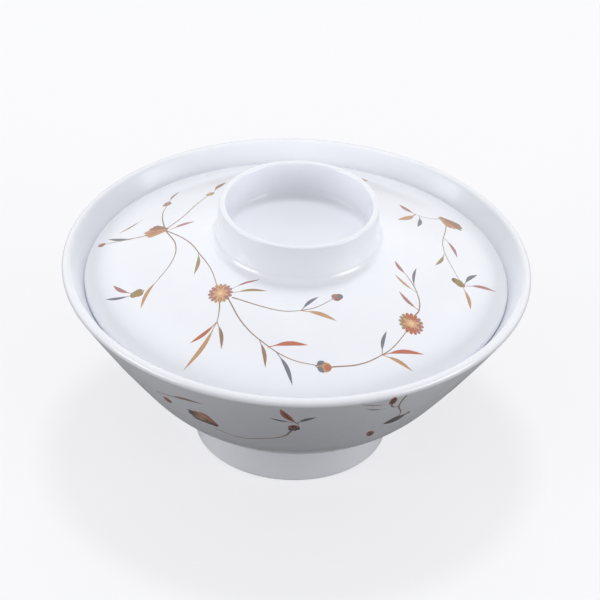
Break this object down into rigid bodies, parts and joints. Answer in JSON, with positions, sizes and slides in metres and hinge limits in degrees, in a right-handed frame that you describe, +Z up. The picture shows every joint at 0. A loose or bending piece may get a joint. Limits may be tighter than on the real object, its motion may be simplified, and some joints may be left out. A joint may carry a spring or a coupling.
{
  "type": "lidded rice bowl",
  "caption": "Flared round rice bowl on a foot ring, with a domed drop-in lid that lifts off by its ring grip; glossy white melamine with a flower scroll print.",
  "frame": {"origin": "centre of the foot ring, on the plane that the bowl stands on", "axes": "+Z up along the axis of the bowl and of the lid; the round body has no front, and +Y points away from the viewer of the picture"},
  "size_m": [0.14, 0.14, 0.0809],
  "materials": {
    "bowl_melamine": "moulded gloss",
    "lid_melamine": "moulded gloss"
  },
  "bodies": {
    "bowl": {"bowl": "bowl_melamine"},
    "lid": {"lid": "lid_melamine"}
  },
  "joints": [
    {"name": "lid_lift", "type": "slide", "parent": "bowl", "child": "lid", "axis": [0, 0, 1], "range_m": [0, 0.08]}
  ]
}
